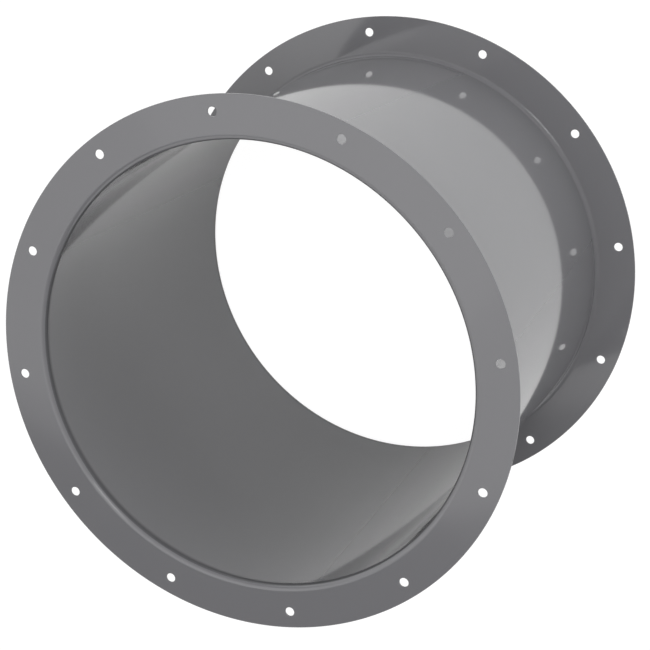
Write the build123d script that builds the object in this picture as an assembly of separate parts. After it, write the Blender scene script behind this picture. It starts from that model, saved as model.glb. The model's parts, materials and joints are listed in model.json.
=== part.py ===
from build123d import *
import os

# Duct connector, size 400: a straight round duct rolled from thin sheet steel. At both ends
# the sheet is turned outwards through a rounded bend into a flat bolting flange.
# Millimetres. It stands on one flange, with +Z along the duct's axis.
# The origin is the middle of the lower flange's outer face.

# driving dimensions
bore_diameter = 400.0        # clear air way inside the duct
overall_length = 365.0       # from one flange face to the other
sheet_thickness = 1.5
bend_radius = 4.0            # on the inside of each bend, where the duct meets the back of the flange
flange_width = 40.0          # from the bore out to the flange's rim

# bolt holes, the same in both flanges and in line with each other
bolt_count = 12
bolt_hole_diameter = 8.4     # for M8 bolts
bolt_edge_distance = 15.0    # from the rim in to the bolt circle
first_bolt_angle = 15.0      # degrees from +X, so that the X and Y axes fall between two holes

# worked out from the above
bore_radius = bore_diameter / 2
rim_radius = bore_radius + flange_width
bolt_circle_radius = rim_radius - bolt_edge_distance


def sheet_section():
    # The sheet's middle line runs in along one flange, up the duct and out along the other.
    half_sheet = sheet_thickness / 2
    duct = bore_radius + half_sheet
    lower = half_sheet
    upper = overall_length - half_sheet
    with BuildSketch(Plane.XZ) as section:
        with BuildLine():
            FilletPolyline(
                (rim_radius, lower),
                (duct, lower),
                (duct, upper),
                (rim_radius, upper),
                radius=bend_radius + half_sheet,
            )
        trace(line_width=sheet_thickness)
    return section.sketch


def bolt_holes():
    # One drill for each bolt passes through both flanges, outside the duct.
    with BuildPart() as drills:
        with PolarLocations(bolt_circle_radius, bolt_count, start_angle=first_bolt_angle):
            Cylinder(
                bolt_hole_diameter / 2,
                overall_length,
                align=(Align.CENTER, Align.CENTER, Align.MIN),
            )
    return drills.part


def duct_connector():
    with BuildPart() as connector:
        add(sheet_section())
        revolve(axis=Axis.Z)
        add(bolt_holes(), mode=Mode.SUBTRACT)
    return connector.part


os.makedirs("parts", exist_ok=True)
export_step(duct_connector(), "parts/duct_connector.step")
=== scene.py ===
import bpy, bmesh, json
from math import radians
from mathutils import Matrix, Vector


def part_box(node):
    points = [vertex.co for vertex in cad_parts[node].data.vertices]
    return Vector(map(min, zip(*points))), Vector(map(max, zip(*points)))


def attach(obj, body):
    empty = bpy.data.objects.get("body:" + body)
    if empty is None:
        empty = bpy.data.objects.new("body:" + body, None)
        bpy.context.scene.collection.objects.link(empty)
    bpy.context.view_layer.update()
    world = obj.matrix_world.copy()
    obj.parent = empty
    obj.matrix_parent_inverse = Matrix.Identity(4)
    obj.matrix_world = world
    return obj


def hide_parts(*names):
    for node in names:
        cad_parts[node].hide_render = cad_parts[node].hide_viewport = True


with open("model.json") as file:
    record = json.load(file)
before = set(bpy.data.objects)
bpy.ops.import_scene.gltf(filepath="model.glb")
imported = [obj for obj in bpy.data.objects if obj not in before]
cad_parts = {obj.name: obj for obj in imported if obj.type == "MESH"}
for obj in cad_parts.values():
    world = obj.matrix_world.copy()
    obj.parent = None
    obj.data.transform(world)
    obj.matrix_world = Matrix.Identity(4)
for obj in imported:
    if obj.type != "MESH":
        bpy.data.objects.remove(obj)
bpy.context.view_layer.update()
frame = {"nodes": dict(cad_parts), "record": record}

mounts = {mount["name"]: mount["dims"] for mount in frame["record"]["mounts"]}
lowest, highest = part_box("duct_connector")
millimetre = 0.001
print("frame loaded:", sorted(frame["nodes"]))


# Shader maths is written as expressions on sockets.
class Socket:
    def __init__(self, finish, out):
        self.finish, self.out = finish, out

    def maths(self, operation, *values):
        return self.finish.node("ShaderNodeMath", {"operation": operation}, dict(enumerate(values)))

    def __add__(self, other):
        return self.maths("ADD", self, other)

    def __sub__(self, other):
        return self.maths("SUBTRACT", self, other)

    def __rsub__(self, other):
        return self.maths("SUBTRACT", other, self)

    def __mul__(self, other):
        return self.maths("MULTIPLY", self, other)

    def __or__(self, other):
        return self.maths("MAXIMUM", self, other)

    def __lt__(self, other):
        return self.maths("LESS_THAN", self, other)

    def __gt__(self, other):
        return self.maths("GREATER_THAN", self, other)

    def __abs__(self):
        return self.maths("ABSOLUTE", self)

    def root(self):
        return self.maths("SQRT", self)

    __radd__, __rmul__, __ror__ = __add__, __mul__, __or__


# The nodes of one material, or of the world.
class Finish:
    def __init__(self, owner):
        owner.use_nodes = True
        self.tree = owner.node_tree
        self.tree.nodes.clear()

    def node(self, kind, settings={}, sockets={}, out=0):
        node = self.tree.nodes.new(kind)
        for name, value in settings.items():
            setattr(node, name, value)
        for name, value in sockets.items():
            if isinstance(value, Socket):
                self.tree.links.new(value.out, node.inputs[name])
            else:
                node.inputs[name].default_value = value
        return Socket(self, node.outputs[out]) if node.outputs else None


def grey(tone):
    return (tone, tone, tone, 1.0)


def ramp(f, value, low, high):
    return f.node("ShaderNodeMapRange", {"interpolation_type": "SMOOTHSTEP"},
                  {"Value": value, "From Min": low, "From Max": high})


def noise(f, place, size, detail):
    return f.node("ShaderNodeTexNoise", {}, {"Vector": place, "Scale": 1 / size, "Detail": detail})


# The Mix node repeats its sockets' names, so they go by number.
def blend(f, share, first, second):
    return f.node("ShaderNodeMix", {"data_type": "RGBA"}, {0: share, 6: first, 7: second}, out=2)


# Painted shade: a dark band along the bore's end of both bends, darkest on one side of the duct.
paintedBendShade = {
    "colour": (0.082, 0.082, 0.086, 1.0),
    "band": (0.0011, 0.0024, 0.0042, 0.0095),   # in from a flange face: starts, full, still full, ends
    "radius": 0.2010,          # it stays on the bore's side of the sheet
    "flare": 0.75,             # how fast that radius grows near the flange face
    "side": (-0.50, 0.87),     # the painted shade is darkest on this side of the duct, in X and Y
    "turn": (-0.06, 0.09),     # how far to that side it starts to grow, and is full
    "least": 0.35,             # its share on the other side
    "drift": (0.7, 0.5),       # its least share in the paint's drift, and what a full drift adds
}


# The share of painted shade at each point along the bends.
def paintedShadeShare(f, p, place, drift):
    x, y, height = (f.node("ShaderNodeSeparateXYZ", {}, {"Vector": place}, out=axis) for axis in "XYZ")
    middle = highest.z / 2
    depth = middle - abs(height - middle)
    start, full, fade, end = p["band"]
    band = ramp(f, depth, start, full) * (1 - ramp(f, depth, fade, end))
    bore = (x * x + y * y).root() < ((full - depth) * p["flare"] | 0) + p["radius"]
    acrossX, acrossY = p["side"]
    side = ramp(f, x * acrossX + y * acrossY, *p["turn"]) * (1 - p["least"]) + p["least"]
    least, more = p["drift"]
    return band * bore * side * (drift * more + least)


greyPaint = {
    "colour": (0.150, 0.149, 0.157, 1.0),
    "thinColour": (0.140, 0.139, 0.147, 1.0),   # where the coat is a little thinner
    "gloss": (0.065, 0.095),      # roughness, between these two
    "refraction": 1.5,
    "enamel": 0.6,                # the clear top of the stove enamel
    "enamelGloss": 0.07,
    "cloud": (0.09, 3.0),         # size in metres and detail of the slow drift of tone and gloss
    "cloudShare": 0.75,           # the rest of the drift is grain
    "grain": (0.09 / 22, 2.0),
    "peel": (0.0018, 1.0),        # the enamel's orange peel
    "peelHeight": 0.0000015,
}


def paintedSteel(p):
    material = bpy.data.materials.new("greyPaint")
    f = Finish(material)
    place = f.node("ShaderNodeTexCoord", out=3)     # in the duct's own metres
    cloud, grain, peel = (noise(f, place, *p[name]) for name in ("cloud", "grain", "peel"))
    drift = cloud * p["cloudShare"] + grain * (1 - p["cloudShare"])
    enamel = blend(f, drift, p["thinColour"], p["colour"])
    # painted shade along the bore's end of both bends
    paintedShade = paintedShadeShare(f, paintedBendShade, place, drift)
    glossy, dull = p["gloss"]
    bump = f.node("ShaderNodeBump", {}, {"Strength": 1.0, "Distance": p["peelHeight"], "Height": peel})
    paint = f.node("ShaderNodeBsdfPrincipled", {}, {
        "Base Color": blend(f, paintedShade, enamel, paintedBendShade["colour"]),
        "Roughness": drift * (dull - glossy) + glossy,
        "IOR": p["refraction"],
        "Coat Weight": p["enamel"],
        "Coat Roughness": p["enamelGloss"],
        "Normal": bump,
    })
    f.node("ShaderNodeOutputMaterial", {}, {"Surface": paint})
    return material


def placed(name, data):
    made = bpy.data.objects.new(name, data)
    bpy.context.collection.objects.link(made)
    return made


def shaped(name, mesh):
    data = bpy.data.meshes.new(name)
    mesh.to_mesh(data)
    mesh.free()
    return placed(name, data)


# One skin of the sheet, on the side of the bore and of the flange faces, gets the sheet's thickness
# towards the outside.
ductSheet = {
    "sheet": 0.0015,
    "bend": 0.0055,          # on the bore's side: the bend's inside radius and the sheet
    "bendSteps": 8,
    "bendProfile": 0.5,      # a round arc
    "turnSteps": 360,
    "ductRows": 6,
    "holeSteps": 32,
    "firstHole": 15.0,       # degrees from +X
    "support": 0.0005,       # keeps the flats flat in the shading beside a bend
    "dressedEdge": 0.0003,
    "edgeSteps": 2,
    "edgeAngle": 50.0,       # degrees, above which an edge is dressed
    "close": 0.000001,       # points this near to each other, or to a plane, are together
}


def sectionWire(mesh, p, bore, length):
    seat, start = bore + p["bend"] + p["support"], p["bend"] + p["support"]
    row = (length - 2 * start) / p["ductRows"]
    duct = [(bore, start + row * number) for number in range(p["ductRows"] + 1)]
    points = [(seat, 0), (bore, 0), *duct, (bore, length), (seat, length)]
    verts = [mesh.verts.new((r, 0, z)) for r, z in points]
    for pair in zip(verts, verts[1:]):
        mesh.edges.new(pair)
    bmesh.ops.bevel(mesh, geom=[verts[1], verts[-2]], offset=p["bend"], segments=p["bendSteps"],
                    profile=p["bendProfile"], affect="VERTICES")


def circleEdges(mesh, steps, radius, place):
    ring = bmesh.ops.create_circle(mesh, segments=steps, radius=radius, matrix=place)["verts"]
    return list({edge for vert in ring for edge in vert.link_edges})


def flangeFace(mesh, p, rim, bolts, height):
    loops = [edge for edge in mesh.edges if edge.is_boundary
             and all(abs(vert.co.z - height) < p["close"] for vert in edge.verts)]
    level = Matrix.Translation((0, 0, height))
    loops += circleEdges(mesh, p["turnSteps"], rim, level)
    out = Matrix.Translation((bolts["pcd_mm"] / 2 * millimetre, 0, 0))
    for number in range(bolts["count"]):
        turn = Matrix.Rotation(radians(p["firstHole"] + 360 / bolts["count"] * number), 4, "Z")
        loops += circleEdges(mesh, p["holeSteps"], bolts["hole_r_mm"] * millimetre, level @ turn @ out)
    bmesh.ops.triangle_fill(mesh, use_beauty=True, use_dissolve=False, edges=loops, normal=(0, 0, 1))


def flangedDuct(p):
    mesh = bmesh.new()
    length, rim = highest.z - lowest.z, highest.x
    sectionWire(mesh, p, mounts["air_way"]["r_mm"] * millimetre, length)
    bmesh.ops.spin(mesh, geom=mesh.verts[:] + mesh.edges[:], axis=(0, 0, 1), angle=radians(360),
                   steps=p["turnSteps"], use_merge=True)
    for pattern, height in (("lower_bolts", 0.0), ("upper_bolts", length)):
        flangeFace(mesh, p, rim, mounts[pattern], height)
    bmesh.ops.remove_doubles(mesh, verts=mesh.verts, dist=p["close"])
    bmesh.ops.recalc_face_normals(mesh, faces=mesh.faces)
    upper = max(mesh.faces, key=lambda face: face.calc_center_median().z)
    if upper.normal.z < 0:      # the skin faces the bore and the flanges' joint faces
        bmesh.ops.reverse_faces(mesh, faces=mesh.faces)
    for face in mesh.faces:
        face.smooth = True

    duct = shaped("flangedDuct", mesh)
    duct.data.materials.append(paintedSteel(greyPaint))
    wall = duct.modifiers.new("sheet", "SOLIDIFY")
    wall.thickness, wall.offset, wall.use_even_offset = p["sheet"], -1, True
    edge = duct.modifiers.new("dressed edges", "BEVEL")
    edge.width, edge.segments = p["dressedEdge"], p["edgeSteps"]
    edge.limit_method, edge.angle_limit = "ANGLE", radians(p["edgeAngle"])
    edge.harden_normals = True
    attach(duct, "root")
    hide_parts("duct_connector")


flangedDuct(ductSheet)
print("duct built")


studio = {
    "floorTone": 0.80,
    "whiteShare": 0.95,      # of the floor's tone for the camera
    "shadeShare": 0.12,      # the rest, which takes the shadow
    "mirrorShare": 0.07,     # added to the lit floor in reflections
    "floorSize": 12.0,
    "floorPlace": (0.0, 2.5, -0.0003),   # set back, and a hair under the duct: faces in one plane flicker
    "ambient": 0.14,         # of the world, on the object
    "wallTop": 0.20,         # sine of the height above the horizon up to which the room is white
    "ceiling": 0.45,         # the same for where its dark ceiling starts
    "backWall": 0.70,        # how far both rise behind the duct, and sink in front of it
    "ceilingTone": 0.04,
}


def rays(f, kind):
    return f.node("ShaderNodeLightPath", out=f"Is {kind} Ray")


def mixed(f, share, first, second):
    return f.node("ShaderNodeMixShader", {}, {0: share, 1: first, 2: second})


# The room shows only in reflections. The camera sees plain white.
def whiteWorld(s):
    world = bpy.data.worlds.new("white room")
    bpy.context.scene.world = world
    f = Finish(world)
    direction = f.node("ShaderNodeTexCoord")
    back, height = (f.node("ShaderNodeSeparateXYZ", {}, {"Vector": direction}, out=axis) for axis in "YZ")
    room = f.node("ShaderNodeMapRange", {"interpolation_type": "SMOOTHSTEP"}, {
        "Value": height - back * s["backWall"], "From Min": s["wallTop"], "From Max": s["ceiling"],
        "To Min": 1.0, "To Max": s["ceilingTone"]})
    white = f.node("ShaderNodeBackground", {}, {"Color": room | rays(f, "Camera"), "Strength": 1.0})
    soft = f.node("ShaderNodeBackground", {}, {"Color": grey(1.0), "Strength": s["ambient"]})
    seen = rays(f, "Camera") | rays(f, "Glossy") | rays(f, "Transmission")
    f.node("ShaderNodeOutputWorld", {}, {"Surface": mixed(f, seen, soft, white)})


def paleFloor(s):
    mesh = bmesh.new()
    bmesh.ops.create_grid(mesh, x_segments=1, y_segments=1, size=s["floorSize"] / 2)
    floor = shaped("floor", mesh)
    floor.location = s["floorPlace"]
    material = bpy.data.materials.new("paleFloor")
    f = Finish(material)
    plain, shade = (f.node("ShaderNodeBsdfDiffuse", {}, {"Color": grey(s[name])})
                    for name in ("floorTone", "shadeShare"))
    glow, lift = (f.node("ShaderNodeEmission", {}, {"Color": grey(1.0), "Strength": s[name]})
                  for name in ("whiteShare", "mirrorShare"))
    white = f.node("ShaderNodeAddShader", {}, {0: glow, 1: shade})
    pale = f.node("ShaderNodeAddShader", {}, {0: plain, 1: lift})
    mirrored = mixed(f, rays(f, "Glossy"), plain, pale)
    seen = rays(f, "Camera") | rays(f, "Transmission")
    f.node("ShaderNodeOutputMaterial", {}, {"Surface": mixed(f, seen, mirrored, white)})
    floor.data.materials.append(material)


whiteWorld(studio)
paleFloor(studio)

# Each lamp is a soft round or oval panel, aimed at the middle of the duct. The fills aren't seen in
# reflections. The one at the back lights the sides that the photo doesn't show.
lamps = {
    "overhead": {"place": (0.03, -0.10, 3.18), "size": (3.46, 3.46), "power": 7.0, "mirrored": True},
    "back": {"place": (0.46, 0.80, 3.03), "size": (2.93, 2.93), "power": 13.0, "mirrored": True},
    "rear": {"place": (0.22, 1.25, 2.9), "size": (1.61, 1.61), "power": 1.9, "mirrored": True},
    "spot": {"place": (0.36, -0.63, 3.09), "size": (0.52, 0.52), "power": 3.0, "mirrored": True},
    "frontFill": {"place": (0.33, -1.4, 2.8), "size": (3.46, 3.46), "power": 92.0, "mirrored": False},
    "lowFill": {"place": (1.78, -2.37, 0.65), "size": (1.28, 1.28), "power": 35.0, "mirrored": False},
    "backFill": {"place": (-2.72, 1.27, 0.2), "size": (3.2, 0.36), "power": 50.0, "mirrored": False},
}


def softLamps(lamps, aim):
    for name, lamp in lamps.items():
        panel = bpy.data.lights.new(name, "AREA")
        panel.shape, panel.energy = "ELLIPSE", lamp["power"]
        panel.size, panel.size_y = lamp["size"]
        holder = placed(name, panel)
        holder.location, holder.visible_camera = lamp["place"], False
        holder.visible_glossy = lamp["mirrored"]
        holder.rotation_euler = (aim - holder.location).to_track_quat("-Z", "Y").to_euler()


softLamps(lamps, (lowest + highest) / 2)
print("studio lit")


view = {
    "place": (0.3009, -0.9608, 2.0696),
    "aim": (-0.0121, 0.0094, 0.1894),
    "roll": -127.91,         # degrees about the line of sight
    "lens": 127.97,
    "sensor": 36.0,
    "nearest": 0.05,
}


def photoCamera(v):
    lens = bpy.data.cameras.new("camera")
    lens.lens, lens.sensor_width, lens.clip_start = v["lens"], v["sensor"], v["nearest"]
    camera = placed("camera", lens)
    place, aim = Vector(v["place"]), Vector(v["aim"])
    turn = (aim - place).to_track_quat("-Z", "Y").to_matrix().to_4x4()
    camera.matrix_world = Matrix.Translation(place) @ turn @ Matrix.Rotation(radians(v["roll"]), 4, "Z")
    bpy.context.scene.camera = camera


photoCamera(view)
bpy.context.scene.view_settings.view_transform = "Standard"
print("camera set")
